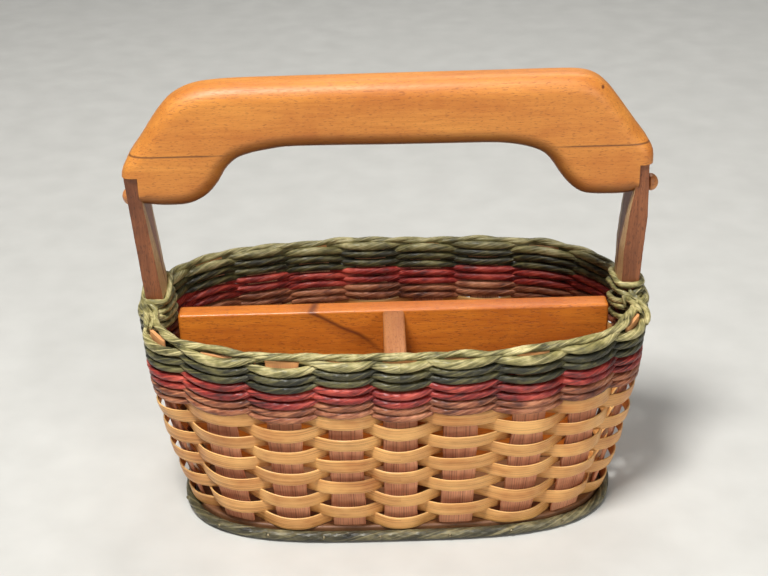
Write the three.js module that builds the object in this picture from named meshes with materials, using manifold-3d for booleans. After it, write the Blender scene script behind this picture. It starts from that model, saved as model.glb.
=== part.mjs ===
// Woven easter basket with a carved wooden grip, two inner dividers and a dyed cord band.
// Millimetres, +Z up. The origin is the middle of the base on the table; +X runs along the
// basket towards one handle strut, and +Y points to the rear compartment.

import * as THREE from 'three';
import { mergeVertices } from 'three/addons/utils/BufferGeometryUtils.js';
import Module from 'manifold-3d';

const wasm = await Module();
wasm.setup();

// ---- driving dimensions -------------------------------------------------------------------

const GAP = 0.3;                  // clearance between neighbouring pieces

// Plan of the basket: a superellipse that grows from the base to the rim.
const BASE_HALF = [120.3, 71.8];  // middle of the wall at the base, half length and half width
const RIM_HALF = [143, 79];       // the same at the rim
const BASE_SQUARENESS = 3.4;      // superellipse power at the base
const RIM_SQUARENESS = 2.75;      // and at the rim
const FLARE_POWER = 1.8;          // how soon the wall straightens on its way up
const WALL_TOP = 121;             // height at which the wall has its rim size

// Base board, with a slot for the foot of every stake and a cord nailed round its edge.
const BOARD_HEIGHT = 7.5;
const BOARD_LIP = 3.1;            // board edge outside the middle of the wall
const SLOT_FLOOR = 3.2;
const BASE_CORD_RADIUS = 3;
const BASE_POINTS = 52;           // points round the board and its cord

// Stakes: twenty places round the wall, the two end places taken by the handle struts.
const PLACES = 20;
const STRUT_PLACES = [5, 15];
const STAKE_WIDTH = 19;
const STAKE_THICKNESS = 2;
const STAKE_TOP = 117.7;
// Hand spacing: how far each stake stands from its even place, in mm round the rim.
const STAKE_SHIFT = [2, -2, 0, -4, -3, 0, 10, 14, 16, 16, 14, 13, 10, 6, 3, 0, 5, 13, 13, 10];

// Flat reed rows, over one stake and under the next.
const REED_ROWS = 10;
const REED_FIRST = 12.3;          // height of the middle of the lowest row
const REED_PITCH = 7.45;
const REED_HEIGHT = 7.35;
const REED_THICKNESS = 1.2;
const REED_SWING = 5.3;           // how far a row bows out or in at a stake
const REED_CREST = 7;             // half the length over which it keeps that distance

// Cord rows: each is a pair of cords, one over the even stakes and one over the odd ones.
const CORD_ROWS = ['tan_cord_row_1', 'tan_cord_row_2', 'red_cord_row_1', 'red_cord_row_2',
  'green_cord_row_1', 'green_cord_row_2', 'green_cord_row_3'];
const CORD_FIRST = 85.7;          // height of the middle of the lowest row
const CORD_PITCH = 4.97;
const CORD_HEIGHT = 4.6;
const CORD_DIAMETER = 5.1;
const SLOT_CLEARANCE = 0.7;       // a stake leans inside its slots

// Rim cord, on top of the stake ends and outside the struts.
const RIM_CORD_RADIUS = 2.2;
const RIM_CORD_HEIGHT = 120.3;
const STRUT_TO_RIM_CORD = 0.4;    // space between a strut's foot and the cord round it
const RIM_CORD_PASS = 1;          // the cord bends this far beyond a strut's edge
const CORD_SIDES = 8;             // facets round a cord

// Handle struts: a thick upright above the rim and a thin tongue woven in like a stake.
const STRUT_DEPTH = 25;
const STRUT_TOP = 201;
const STRUT_BODY_FOOT = 126;
const STRUT_FOOT = 118.2;         // where the thick upright has turned into the tongue
const TONGUE_TOP_THICKNESS = 3.4;
const TONGUE_FOOT_THICKNESS = 2.4;
const TONGUE_BENDS = [90, 60, 36, 20];  // heights at which a tongue bends with the wall
const STRUT_SHOULDER = 124.2;     // where the upright has its full depth, above the narrow tongue
const TRIM_LENGTH = 320;          // of the solids that trim the handle, longer than the grip

// The two hand-cut ends of the handle, as distances from the middle of the basket: where the
// grip ends, and each strut's outer edge downwards and inner edge upwards, with heights.
const HANDLE_ENDS = [
  {
    word: 'right',
    side: 1,
    gripEnd: 147.8,
    outer: [[144.8, STRUT_TOP], [146.3, 186], [145.5, 170], [144.1, 149], [142.7, STRUT_BODY_FOOT]],
    inner: [[132.6, STRUT_BODY_FOOT], [133, 149], [134.8, 170], [136.6, 180], [139.4, STRUT_TOP]],
  },
  {
    word: 'left',
    side: -1,
    gripEnd: 150,
    outer: [[148.9, STRUT_TOP], [148.7, 180], [146.9, 161], [145, 147], [143.6, STRUT_BODY_FOOT]],
    inner: [[133.4, STRUT_BODY_FOOT], [135.5, 148], [138.8, 179], [141.2, STRUT_TOP]],
  },
];

// Grip: a long beam with a block glued under each end.
const GRIP_WIDTH = 28;
const GRIP_EDGE = 5;              // size of the long edge chamfers
const GRIP_TOP = 253;
const GLUE_HEIGHT = 213.5;
const BLOCK_BOTTOM = 181.5;
const NOTCH_EASE = 1.5;           // chamfer at the foot of the notch for the strut

// Beam and block outlines, as distances from the grip's end and heights.
const BEAM_SHOULDER = [[48, GRIP_TOP], [36, GRIP_TOP - 2.5], [27, GRIP_TOP - 8], [4, GLUE_HEIGHT + GAP]];
const BLOCK_BELLY = [[62, GLUE_HEIGHT], [55, 205], [50, 195], [44, 187], [36, BLOCK_BOTTOM + 1.5],
  [26, BLOCK_BOTTOM]];
const BLOCK_SHOULDER = [[0.6, 205.5], [4, GLUE_HEIGHT]];

// Pegs through the struts into the blocks.
const PEG_HEIGHT = 186;
const PEG_RADIUS = 2.6;
const PEG_HEAD_RADIUS = 5;
const PEG_HEAD_FOOT = 0.4;        // the head starts this far outside the strut
const PEG_HEAD_TIP = 152.5;
const PEG_INNER_END = 126;
const PEG_DOME = [[1, 0], [0.94, 0.5], [0.6, 0.87]];  // shares of the head's radius and height
const PEG_SIDES = 16;             // facets round a peg

// Lashing collars round the feet of the struts.
const LASHING_BOTTOM = 123.3;
const LASHING_TOP = 130.5;
const LASHING_THICKNESS = 4.4;
const LASHING_CORNER = 3;
const LASHING_SLACK = 1.2;        // the strut leans outwards below its foot

// Dividers.
const DIVIDER_THICKNESS = 12.6;
const DIVIDER_TOP = 112;
const DIVIDER_HALF = 127;
const DIVIDER_CLEARANCE = 0.8;    // between a divider's end and the reeds
const DIVIDER_BENDS = [22, 40, 60];  // heights at which a divider's end follows the wall
const CUT_OVERRUN = 1;            // a cutting solid reaches this far past what it cuts

// ---- materials ----------------------------------------------------------------------------

const paint = (color, roughness) => new THREE.MeshStandardMaterial({ color, roughness, metalness: 0 });
const CHERRY = paint(0xc8823f, 0.4);
const WALNUT = paint(0x6a3d27, 0.5);
const BOARD_WOOD = paint(0xb9864f, 0.55);
const DIVIDER_WOOD = paint(0xb5632c, 0.45);
const STAKE_WOOD = paint(0xa8694a, 0.7);
const REED = paint(0xc99a5b, 0.5);
const CORD = {
  tan: paint(0xb98560, 0.7),
  red: paint(0xa83a3c, 0.7),
  green: paint(0x6b7350, 0.7),
};

// ---- plan of the wall ---------------------------------------------------------------------

const OUTLINE_STEPS = 360;
const mix = (a, b, t) => a + (b - a) * t;

// The middle of the wall at one height: closed outline, its running length and its normals.
function wallOutline(height) {
  const rise = THREE.MathUtils.clamp((height - BOARD_HEIGHT) / (WALL_TOP - BOARD_HEIGHT), 0, 1);
  const flare = 1 - (1 - rise) ** FLARE_POWER;
  const halfLength = mix(BASE_HALF[0], RIM_HALF[0], flare);
  const halfWidth = mix(BASE_HALF[1], RIM_HALF[1], flare);
  const power = 2 / mix(BASE_SQUARENESS, RIM_SQUARENESS, flare);
  const bend = (value) => Math.sign(value) * Math.abs(value) ** power;
  const points = [];
  for (let i = 0; i <= OUTLINE_STEPS; i += 1) {
    const angle = (i / OUTLINE_STEPS) * 2 * Math.PI - Math.PI / 2;
    points.push(new THREE.Vector2(halfLength * bend(Math.cos(angle)), halfWidth * bend(Math.sin(angle))));
  }
  const lengths = [0];
  for (let i = 1; i < points.length; i += 1) {
    lengths.push(lengths[i - 1] + points[i].distanceTo(points[i - 1]));
  }
  return { points, lengths, total: lengths[OUTLINE_STEPS] };
}

// A point of the outline at a share of the way round from the middle of the front,
// moved outwards by an offset, with the outward normal there.
function wallPoint(outline, share, offset = 0) {
  const length = THREE.MathUtils.euclideanModulo(share, 1) * outline.total;
  let i = 1;
  while (outline.lengths[i] < length) i += 1;
  const span = outline.lengths[i] - outline.lengths[i - 1];
  const along = (length - outline.lengths[i - 1]) / span;
  const before = outline.points[i - 1];
  const after = outline.points[i];
  const tangent = after.clone().sub(before).normalize();
  const normal = new THREE.Vector2(tangent.y, -tangent.x);
  const point = before.clone().lerp(after, along).addScaledVector(normal, offset);
  return { point, normal, tangent };
}

const RIM_LENGTH = wallOutline(WALL_TOP).total;

// Where a place is at one height, as a share of the way round: the shifts are half as large
// at the base as they are at the rim.
function stakeShare(place, height) {
  const whole = THREE.MathUtils.euclideanModulo(place, PLACES);
  const shift = STAKE_SHIFT[whole] * mix(0.5, 1, height / WALL_TOP);
  return Math.floor(place / PLACES) + whole / PLACES + shift / RIM_LENGTH;
}
const isStrut = (place) => STRUT_PLACES.includes(place % PLACES);

// Outline points at every stake and at every crossing between two stakes.
function scallops(height, atStake, atCrossing) {
  const outline = wallOutline(height);
  const points = [];
  for (let place = 0; place < PLACES; place += 1) {
    const here = stakeShare(place, height);
    const next = stakeShare(place + 1, height);
    points.push(wallPoint(outline, here, atStake(place)).point);
    points.push(wallPoint(outline, (here + next) / 2, atCrossing).point);
  }
  return points;
}

// Outline points on both sides of every stake's middle.
function zigzag(height, atStake) {
  const outline = wallOutline(height);
  const points = [];
  for (let place = 0; place < PLACES; place += 1) {
    const here = stakeShare(place, height);
    [-1, 1].forEach((side) => {
      const share = here + (side * REED_CREST) / outline.total;
      points.push(wallPoint(outline, share, atStake(place)).point);
    });
  }
  return points;
}

// ---- solids -------------------------------------------------------------------------------

function toManifold(geometry) {
  const bare = geometry.index ? geometry.toNonIndexed() : geometry.clone();
  bare.deleteAttribute('normal');
  bare.deleteAttribute('uv');
  const merged = mergeVertices(bare, 1e-4);
  return new wasm.Manifold(new wasm.Mesh({
    numProp: 3,
    vertProperties: merged.attributes.position.array,
    triVerts: merged.index.array,
  }));
}

function fromManifold(solid) {
  const mesh = solid.getMesh();
  const geometry = new THREE.BufferGeometry();
  geometry.setAttribute('position', new THREE.BufferAttribute(mesh.vertProperties, 3));
  geometry.setIndex(new THREE.BufferAttribute(mesh.triVerts, 1));
  return geometry;
}

// A plate in the XY plane from one height to another.
function plate(points, holes, bottom, top) {
  const shape = new THREE.Shape(points);
  shape.holes = holes.map((hole) => new THREE.Path(hole));
  const geometry = new THREE.ExtrudeGeometry(shape, { depth: top - bottom, bevelEnabled: false });
  return geometry.translate(0, 0, bottom);
}

// A plate drawn in the XZ plane, centred on Y = 0.
function uprightPlate(points, depth) {
  const shape = new THREE.Shape(points.map(([x, z]) => new THREE.Vector2(x, z)));
  const geometry = new THREE.ExtrudeGeometry(shape, { depth, bevelEnabled: false });
  return geometry.rotateX(Math.PI / 2).translate(0, depth / 2, 0);
}

// A plate drawn in the YZ plane, centred on X = 0.
function crossPlate(points, depth) {
  const shape = new THREE.Shape(points.map(([y, z]) => new THREE.Vector2(y, z)));
  const geometry = new THREE.ExtrudeGeometry(shape, { depth, bevelEnabled: false });
  return geometry.rotateX(Math.PI / 2).rotateZ(Math.PI / 2).translate(-depth / 2, 0, 0);
}

// A closed cord through a loop of plan points at one height.
function cordRing(points, height, radius) {
  const positions = [];
  const indices = [];
  points.forEach((point, i) => {
    const before = points[(i + points.length - 1) % points.length];
    const after = points[(i + 1) % points.length];
    const tangent = after.clone().sub(before).normalize();
    for (let j = 0; j < CORD_SIDES; j += 1) {
      const angle = (j / CORD_SIDES) * 2 * Math.PI;
      const out = radius * Math.cos(angle);
      positions.push(point.x + tangent.y * out, point.y - tangent.x * out, height + radius * Math.sin(angle));
      const nextRing = ((i + 1) % points.length) * CORD_SIDES;
      const a = i * CORD_SIDES + j;
      const b = i * CORD_SIDES + ((j + 1) % CORD_SIDES);
      indices.push(a, nextRing + j, b, b, nextRing + j, nextRing + ((j + 1) % CORD_SIDES));
    }
  });
  const geometry = new THREE.BufferGeometry();
  geometry.setAttribute('position', new THREE.Float32BufferAttribute(positions, 3));
  geometry.setIndex(indices);
  return geometry;
}

const basket = new THREE.Group();

function add(name, geometry, material) {
  const mesh = new THREE.Mesh(geometry, material);
  mesh.name = name;
  basket.add(mesh);
  return mesh;
}

// ---- base ---------------------------------------------------------------------------------

// Evenly spaced points outside the wall's foot.
function evenOutline(offset) {
  const outline = wallOutline(0);
  return Array.from({ length: BASE_POINTS }, (_, i) => wallPoint(outline, i / BASE_POINTS, offset).point);
}

function addBase() {
  let board = toManifold(plate(evenOutline(BOARD_LIP), [], 0, BOARD_HEIGHT));
  for (let place = 0; place < PLACES; place += 1) {
    const corners = slot(place, 0).reverse();
    board = board.subtract(toManifold(plate(corners, [], SLOT_FLOOR, BOARD_HEIGHT + CUT_OVERRUN)));
  }
  add('base_board', fromManifold(board), BOARD_WOOD);
  const cordOffset = BOARD_LIP + GAP + BASE_CORD_RADIUS;
  const cordHeight = BASE_CORD_RADIUS + GAP;
  add('base_cord', cordRing(evenOutline(cordOffset), cordHeight, BASE_CORD_RADIUS), CORD.green);
}

// ---- stakes -------------------------------------------------------------------------------

// A flat strip that follows the wall at one place, given its half thickness at each height.
function stripGeometry(place, heights, halfThickness, halfWidth) {
  const positions = [];
  heights.forEach((height) => {
    const { point, normal, tangent } = wallPoint(wallOutline(height), stakeShare(place, height));
    [[1, -1], [1, 1], [-1, 1], [-1, -1]].forEach(([out, side]) => {
      const corner = point.clone()
        .addScaledVector(normal, out * halfThickness(height))
        .addScaledVector(tangent, side * halfWidth);
      positions.push(corner.x, corner.y, height);
    });
  });
  const indices = [0, 2, 1, 0, 3, 2];
  for (let level = 0; level < heights.length - 1; level += 1) {
    for (let side = 0; side < 4; side += 1) {
      const a = level * 4 + side;
      const b = level * 4 + ((side + 1) % 4);
      indices.push(a, b, a + 4, b, b + 4, a + 4);
    }
  }
  const last = (heights.length - 1) * 4;
  indices.push(last, last + 1, last + 2, last, last + 2, last + 3);
  const geometry = new THREE.BufferGeometry();
  geometry.setAttribute('position', new THREE.Float32BufferAttribute(positions, 3));
  geometry.setIndex(indices);
  return geometry;
}

const STRIP_HEIGHTS = [0, 0.04, 0.12, 0.24, 0.38, 0.55, 0.75, 0.87, 1];
const stripHeights = (top) => STRIP_HEIGHTS.map((t) => mix(SLOT_FLOOR + GAP, top, t));

function addStakes() {
  let number = 1;
  for (let place = 0; place < PLACES; place += 1) {
    if (isStrut(place)) continue;
    const strip = stripGeometry(place, stripHeights(STAKE_TOP), () => STAKE_THICKNESS / 2, STAKE_WIDTH / 2);
    add(`stake_${String(number).padStart(2, '0')}`, strip, STAKE_WOOD);
    number += 1;
  }
}

// ---- weaving ------------------------------------------------------------------------------

// Odd rows pass outside the even places, and even rows pass outside the odd places.
function addReedRows() {
  for (let row = 0; row < REED_ROWS; row += 1) {
    const height = REED_FIRST + row * REED_PITCH;
    const side = (place) => ((place + row) % 2 === 0 ? 1 : -1);
    const half = REED_THICKNESS / 2;
    const outer = zigzag(height, (place) => side(place) * REED_SWING + half);
    const inner = zigzag(height, (place) => side(place) * REED_SWING - half);
    const band = plate(outer, [inner.reverse()], height - REED_HEIGHT / 2, height + REED_HEIGHT / 2);
    add(`reed_row_${String(row + 1).padStart(2, '0')}`, band, REED);
  }
}

const tongueHalf = (height) => mix(TONGUE_FOOT_THICKNESS, TONGUE_TOP_THICKNESS, height / STRUT_FOOT) / 2;

// The slot that a stake or a strut's tongue takes up in the base board or a cord row.
function slot(place, height) {
  const { point, normal, tangent } = wallPoint(wallOutline(height), stakeShare(place, height));
  const deep = (isStrut(place) ? tongueHalf(height) : STAKE_THICKNESS / 2) + SLOT_CLEARANCE;
  const wide = STAKE_WIDTH / 2 + SLOT_CLEARANCE;
  return [[1, -1], [-1, -1], [-1, 1], [1, 1]].map(([out, side]) => point.clone()
    .addScaledVector(normal, out * deep)
    .addScaledVector(tangent, side * wide));
}

function addCordRows() {
  CORD_ROWS.forEach((name, row) => {
    const height = CORD_FIRST + row * CORD_PITCH;
    const reach = (place) => CORD_DIAMETER
      + (isStrut(place) ? tongueHalf(height) : STAKE_THICKNESS / 2) + SLOT_CLEARANCE;
    const crossing = CORD_DIAMETER / 2;
    const outer = scallops(height, reach, crossing);
    const inner = scallops(height, (place) => -reach(place), -crossing).reverse();
    const slots = Array.from({ length: PLACES }, (_, place) => slot(place, height));
    const band = plate(outer, [inner, ...slots], height - CORD_HEIGHT / 2, height + CORD_HEIGHT / 2);
    add(name, band, CORD[name.split('_')[0]]);
  });
}

function addRimCord() {
  const outline = wallOutline(RIM_CORD_HEIGHT);
  const outside = TONGUE_TOP_THICKNESS / 2 + RIM_CORD_RADIUS + STRUT_TO_RIM_CORD;
  const points = [];
  for (let place = 0; place < PLACES; place += 1) {
    const offset = isStrut(place) ? outside : 0;
    const reach = (isStrut(place) ? STRUT_DEPTH / 2 + RIM_CORD_PASS : STAKE_WIDTH / 2) / outline.total;
    const here = stakeShare(place, RIM_CORD_HEIGHT);
    points.push(wallPoint(outline, here - reach, offset).point);
    points.push(wallPoint(outline, here + reach, offset).point);
  }
  add('rim_cord', cordRing(points, RIM_CORD_HEIGHT, RIM_CORD_RADIUS), CORD.green);
}

// ---- handle -------------------------------------------------------------------------------

const mirrorPoints = (points, side) => (side > 0 ? points : points.map(([x, z]) => [-x, z]).reverse());

// Distance from the middle along a line of [distance, height] points, at one height.
function edgeAt(line, height) {
  const rising = [...line].sort((a, b) => a[1] - b[1]);
  const i = Math.max(1, rising.findIndex((point) => point[1] >= height));
  const [below, above] = [rising[i - 1], rising[i]];
  return mix(below[0], above[0], (height - below[1]) / (above[1] - below[1]));
}

// The upright and its tongue, drawn from the front and trimmed to width.
function strutGeometry(end) {
  const tongueHeights = [STRUT_FOOT, ...TONGUE_BENDS, BOARD_HEIGHT, SLOT_FLOOR + GAP];
  const middle = (height) => wallPoint(wallOutline(height), 0.25).point.x;
  const outerTongue = tongueHeights.map((z) => [middle(z) + tongueHalf(z), z]);
  const innerTongue = tongueHeights.map((z) => [middle(z) - tongueHalf(z), z]).reverse();
  const profile = [...end.outer, ...outerTongue, ...innerTongue, ...end.inner].reverse();
  const upright = toManifold(uprightPlate(mirrorPoints(profile, end.side), STRUT_DEPTH));
  const wide = STRUT_DEPTH / 2 + CUT_OVERRUN;
  const narrow = STAKE_WIDTH / 2;
  const half = [[narrow, 0], [narrow, STRUT_FOOT], [wide, STRUT_SHOULDER], [wide, STRUT_TOP + CUT_OVERRUN]];
  const trim = crossPlate([...half, ...half.map(([y, z]) => [-y, z]).reverse()], TRIM_LENGTH);
  return fromManifold(upright.intersect(toManifold(trim)));
}

// The grip's section, with its two upper or its two lower long edges chamfered.
function gripTrim(bottom, top, chamfered) {
  const half = GRIP_WIDTH / 2;
  const right = chamfered === 'top'
    ? [[half, bottom], [half, top - GRIP_EDGE], [half - GRIP_EDGE, top]]
    : [[half - GRIP_EDGE, bottom], [half, bottom + GRIP_EDGE], [half, top]];
  const left = right.map(([y, z]) => [-y, z]).reverse();
  return toManifold(crossPlate([...right, ...left], TRIM_LENGTH));
}

function addGripBeam() {
  const [right, left] = HANDLE_ENDS.map((end) => mirrorPoints(
    BEAM_SHOULDER.map(([inset, z]) => [end.gripEnd - inset, z]),
    end.side,
  ));
  const beam = toManifold(uprightPlate([...left, ...right].reverse(), GRIP_WIDTH));
  const trim = gripTrim(GLUE_HEIGHT + GAP, GRIP_TOP, 'top');
  add('grip_beam', fromManifold(beam.intersect(trim)), CHERRY);
}

function addGripBlock(end) {
  const fromEnd = (points) => points.map(([inset, z]) => [end.gripEnd - inset, z]);
  const notchFoot = edgeAt(end.inner, BLOCK_BOTTOM + NOTCH_EASE) - GAP;
  const notchTop = edgeAt(end.inner, STRUT_TOP) - GAP;
  const outline = [...fromEnd(BLOCK_BELLY),
    [notchFoot - NOTCH_EASE, BLOCK_BOTTOM], [notchFoot, BLOCK_BOTTOM + NOTCH_EASE],
    [notchTop, STRUT_TOP + GAP], [end.gripEnd, STRUT_TOP + GAP], ...fromEnd(BLOCK_SHOULDER)];
  const block = toManifold(uprightPlate(mirrorPoints(outline, end.side), GRIP_WIDTH));
  const trimmed = block.intersect(gripTrim(BLOCK_BOTTOM, GLUE_HEIGHT, 'bottom'));
  const bore = toManifold(shankGeometry(end, PEG_RADIUS + GAP, PEG_INNER_END - GAP));
  add(`grip_block_${end.word}`, fromManifold(trimmed.subtract(bore)), CHERRY);
}

// A solid of revolution along X at the pegs' height, from [radius, distance] points.
function turned(profile, side) {
  const geometry = new THREE.LatheGeometry(profile.map(([r, x]) => new THREE.Vector2(r, x)), PEG_SIDES);
  return geometry.rotateZ(side > 0 ? -Math.PI / 2 : Math.PI / 2).translate(0, 0, PEG_HEIGHT);
}

const shankGeometry = (end, radius, innerEnd) => turned(
  [[0, innerEnd], [radius, innerEnd], [radius, PEG_HEAD_TIP], [0, PEG_HEAD_TIP]],
  end.side,
);

// A round peg with a domed head outside the strut.
function pegGeometry(end) {
  const foot = edgeAt(end.outer, PEG_HEIGHT) + PEG_HEAD_FOOT;
  const dome = PEG_DOME.map(([r, x]) => [PEG_HEAD_RADIUS * r, mix(foot, PEG_HEAD_TIP, x)]);
  return turned([[0, PEG_INNER_END], [PEG_RADIUS, PEG_INNER_END], [PEG_RADIUS, foot], ...dome,
    [0, PEG_HEAD_TIP]], end.side);
}

function addHandle() {
  addGripBeam();
  HANDLE_ENDS.forEach((end) => {
    addGripBlock(end);
    const bore = toManifold(shankGeometry(end, PEG_RADIUS + GAP, PEG_INNER_END - GAP));
    add(`strut_${end.word}`, fromManifold(toManifold(strutGeometry(end)).subtract(bore)), WALNUT);
    add(`peg_${end.word}`, pegGeometry(end), CHERRY);
    addLashing(end);
  });
}

// A collar of cord round the foot of the strut.
function addLashing(end) {
  const levels = [STRUT_BODY_FOOT, LASHING_TOP];
  const outer = Math.max(...levels.map((z) => edgeAt(end.outer, z))) + GAP + LASHING_SLACK;
  const inner = Math.min(...levels.map((z) => edgeAt(end.inner, z))) - GAP;
  const middle = (end.side * (outer + inner)) / 2;
  const halfThickness = (outer - inner) / 2;
  const halfDepth = STRUT_DEPTH / 2 + GAP;
  const [x, y] = [halfThickness + LASHING_THICKNESS, halfDepth + LASHING_THICKNESS];
  const outline = [[1, 1], [-1, 1], [-1, -1], [1, -1]].flatMap(([sx, sy]) => {
    const corner = [[x, y - LASHING_CORNER], [x - LASHING_CORNER, y]]
      .map(([cx, cy]) => new THREE.Vector2(middle + sx * cx, sy * cy));
    return sx * sy > 0 ? corner : corner.reverse();
  });
  const hole = [[1, -1], [-1, -1], [-1, 1], [1, 1]]
    .map(([sx, sy]) => new THREE.Vector2(middle + sx * halfThickness, sy * halfDepth));
  const collar = plate(outline, [hole], LASHING_BOTTOM, LASHING_TOP);
  add(`lashing_${end.word}`, collar, CORD.green);
}

// ---- dividers -----------------------------------------------------------------------------

// The end of a board inside the wall: it follows the flare and stops at its own length.
function wallLine(share, limit) {
  const clearance = REED_SWING + REED_THICKNESS + DIVIDER_CLEARANCE;
  const axis = share === 0.25 ? 'x' : 'y';
  return [BOARD_HEIGHT + GAP, ...DIVIDER_BENDS, DIVIDER_TOP].map((z) => {
    const wall = Math.abs(wallPoint(wallOutline(z), share).point[axis]) - clearance;
    return [Math.min(wall, limit), z];
  });
}

function addDividers() {
  const right = wallLine(0.25, DIVIDER_HALF);
  const left = right.map(([x, z]) => [-x, z]).reverse();
  add('divider_long', uprightPlate([...right, ...left], DIVIDER_THICKNESS), DIVIDER_WOOD);
  const near = -(DIVIDER_THICKNESS / 2 + GAP);
  const front = wallLine(0, RIM_HALF[1]).map(([y, z]) => [-y, z]).reverse();
  const outline = [[near, BOARD_HEIGHT + GAP], [near, DIVIDER_TOP], ...front];
  add('divider_cross', crossPlate(outline, DIVIDER_THICKNESS), DIVIDER_WOOD);
}

addBase();
addStakes();
addReedRows();
addCordRows();
addRimCord();
addHandle();
addDividers();

export default basket;
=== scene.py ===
import math

import bmesh
import bpy
import numpy as np
from mathutils import Matrix, Vector


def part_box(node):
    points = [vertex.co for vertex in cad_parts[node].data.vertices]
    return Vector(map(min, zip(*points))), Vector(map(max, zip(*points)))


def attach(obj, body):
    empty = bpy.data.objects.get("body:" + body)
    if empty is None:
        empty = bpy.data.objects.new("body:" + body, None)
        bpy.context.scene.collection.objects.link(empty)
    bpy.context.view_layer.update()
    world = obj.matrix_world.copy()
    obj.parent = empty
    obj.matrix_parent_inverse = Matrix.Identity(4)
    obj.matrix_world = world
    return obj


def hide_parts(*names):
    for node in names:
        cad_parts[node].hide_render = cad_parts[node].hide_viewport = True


# The easter basket's looks. Everything is in metres in the row frame: +X runs along the basket
# and -Y is its front. The CAD nodes give the places, and every piece here stands for one of them.

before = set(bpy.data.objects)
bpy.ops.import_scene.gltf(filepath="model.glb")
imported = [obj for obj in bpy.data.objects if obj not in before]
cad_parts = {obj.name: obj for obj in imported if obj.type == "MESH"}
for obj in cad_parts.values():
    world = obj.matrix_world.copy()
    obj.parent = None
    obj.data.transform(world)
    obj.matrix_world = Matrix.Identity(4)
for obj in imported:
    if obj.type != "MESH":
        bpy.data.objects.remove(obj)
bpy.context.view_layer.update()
MM = 0.001
UP = np.array([0.0, 0.0, 1.0])

# ---- driving dimensions, in mm ----

PLACES = 20  # stakes and strut tongues round the wall
STRUT_PLACES = {5: "strut_right", 15: "strut_left"}
SIDES = {"right": 1, "left": -1}  # directions outwards along X
WALL_LEVELS = 60
SPLINE_STEPS = 32  # between two points of a curve
FLAT_CREST = 0.22  # how much the crest of a row's swing is flattened

STAKE_CROWN = 0.35  # a stake's middle stands out from its edges
STAKE_UNEVENNESS = 0.25  # standard deviation of its half width

STRUT_BODY_FOOT = 126  # foot of the struts' thick part
STRUT_TOP = 201
STRUT_EDGE = 0.9
STRUT_STEP = 4
STRUT_UNEVENNESS = 0.06
PEG_HOLE_REACH = 9  # nearer to its middle, a strut's points belong to the peg's hole
FACET_SIZE = (0.8, 4.2)  # worn facets on the struts' inner edges, at top and foot
FACET_ON_TONGUE = 0.25
FACET_LEAN = 0.26  # shares of that size inwards
FACET_LENGTH = 2.7  # and along the inner side

REED_ROWS = 10
REED_SIZE = (1.4, 8.0)  # thickness and height
REED_SWING = 5.2  # bow of a reed at the stake that it passes
REED_STAGGER = 0.7  # even columns stand this much lower than odd ones
REED_UNEVENNESS = (0.3, 0.25, 0.12)  # of its height, swing and width
REED_TWIST = 0.07  # slope by which a reed leans in or out

# Rows of paired cords. Each cord passes outside every second stake and inside the others.
CORD_ROWS = ["tan_cord_row_1", "tan_cord_row_2", "red_cord_row_1", "red_cord_row_2",
             "green_cord_row_1", "green_cord_row_2", "green_cord_row_3"]
CORD_THICKNESS = 4.9
TOP_CORD_THICKNESS = 5.4  # the top row is a little thicker
CORD_HALF_WIDTH = (2.3, 2.5)  # where it crosses its pair, and at a stake
COLUMN = (0.3, 0.8)  # a change at one place is whole this near to it, and gone this far away
CORD_SWING = 4.0  # how far a cord's middle passes from a stake's middle
STRUT_WIDENING = 1.4  # and how much further at a strut's tongue
CORD_TILT = 1.3  # cords hang this much lower outside a stake, and rise inside it
OUTER_STAGGER = 1.7  # outside the stakes, odd columns stand this much higher
INNER_STAGGER = 0.7  # and inside them this much lower
CROSSING_HEIGHT = 3.5  # a cord is squeezed flat where it crosses its pair
CORD_UNEVENNESS = (0.22, 0.2)  # of its height and swing
RAISED_PLACES = (0, 2)  # here the green rows are pushed up against the rim
RAISED_ROWS = {"green_cord_row_3": 2.2, "green_cord_row_2": 1.5, "green_cord_row_1": 0.7}
CORD_RIDGES = 8  # folds round a cord
CORD_GROOVE = 0.13  # depth of the grooves between them, in cord radii
CORD_LAY = 46  # length of one turn of the twist
CORD_GIRTH = 15  # length round a cord

ROW_SAG = 4.2  # the rows sit this much lower at the back, just above the reeds
SAG_HEIGHT = 84
HIGHEST_PLACE = 1.5
ROW_LIFT = 2.4  # the lowest rows are packed closer than the reeds above them
LIFT_AT_FOOT = -0.3  # share of that lift at the foot
PACKED_BELOW = (18, 36)
LIFTED_BELOW = (74, 92)

RIM_HEIGHT = 120.0
RIM_STRAND = 1.5  # radius of each of the two strands of the rim cord
RIM_SPREAD = 0.5  # a strand's distance from the cord's middle, in strand radii
RIM_LAY = 44
RIM_TUCK = 2.6  # the rim cord turns this far inwards on its way to a strut
ROUND_STRUT = (0.36, 0.58)  # places from a strut where the cord leaves it
TUCK_ENDS = (0.9, 1.4)  # and where the tuck ends
RIM_UNEVENNESS = (0.35, 0.45)  # of its place in and out, and its height
STRAND_LAY = 14  # twist of each of the strands
STRAND_RIDGES = 5
STRAND_GROOVE = 0.1

BOARD_EDGE = 1.4  # this and the other edges are the size of a rounding
BASE_CORD_RADIUS = 2.9
BASE_LAY = 130
BASE_RIDGES = 9
BASE_GROOVE = 0.16
TACK_SIZE = (1.1, 0.9)  # radius and height

LASHING_RADIUS = 1.75
LASHING_STEP = 0.7

GRIP_ROUNDING = 10.5  # radius of the grip's long edges
LIP_ROUNDING = 6  # and of its ends, over the struts
LIP_REACH = (136, 146)  # distances from the middle where that radius changes
LIP_HEIGHT = (206, 222)
GLUE_GAP = 0.04  # between the beam and its blocks
GLUE_LINE_FROM = (88, 104)  # distances from the middle where it appears
NOTCH_CLEARANCE = 0.3  # above a strut's top
KNOT_PLACE = (117, -11, 246)
KNOT_RADII = (1.2, 6, 1.3)

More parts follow.
